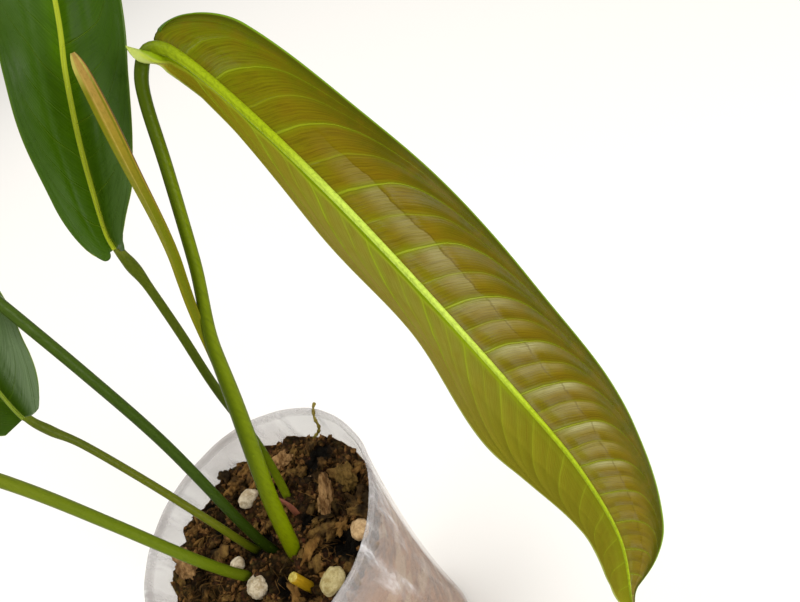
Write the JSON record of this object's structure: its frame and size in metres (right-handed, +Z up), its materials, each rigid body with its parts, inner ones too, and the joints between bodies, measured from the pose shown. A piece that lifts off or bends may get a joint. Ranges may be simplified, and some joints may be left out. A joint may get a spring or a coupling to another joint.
{
  "type": "potted philodendron heterocraspedon",
  "caption": "Young philodendron with long strap leaves on thin petioles, in a tall frosted plastic pot of bark mix.",
  "frame": {"origin": "middle of the pot's flat underside, on the surface that it stands on", "axes": "+Z up along the pot's axis, +Y away from the viewer of the picture, +X to the viewer's right"},
  "size_m": [0.27, 0.2058, 0.3972],
  "materials": {
    "pot_plastic": "frosted translucent, softly streaked",
    "potting_mix": "rough, damp, crumbly",
    "root": "matt, fibrous",
    "leaf_bronze": "semi-gloss, quilted between pale veins",
    "leaf_green": "glossy",
    "petiole_dark": "smooth, semi-gloss",
    "petiole_light": "smooth, semi-gloss",
    "sheath": "papery along the edges, satin",
    "stub": "smooth, drying, pale cut end",
    "dry_scale": "dry, papery",
    "perlite": "porous, chalky",
    "bark": "rough, fibrous"
  },
  "bodies": {
    "root": {"pot": "pot_plastic", "potting_mix": "potting_mix", "crown_and_roots": "root", "leaf_1_petiole": "petiole_dark", "leaf_1_blade": "leaf_bronze", "leaf_2_petiole": "petiole_dark", "leaf_2_blade": "leaf_green", "leaf_3_petiole": "petiole_dark", "leaf_3_blade": "leaf_green", "leaf_4_petiole": "petiole_dark", "leaf_4_blade": "leaf_green", "leaf_5_petiole": "petiole_light", "leaf_5_blade": "leaf_green", "new_leaf_sheath": "sheath", "cut_petiole_stub": "stub", "dry_scale": "dry_scale", "perlite_1": "perlite", "perlite_2": "perlite", "perlite_3": "perlite", "perlite_4": "perlite", "perlite_5": "perlite", "bark_1": "bark", "bark_2": "bark", "bark_3": "bark", "bark_4": "bark"}
  },
  "joints": []
}
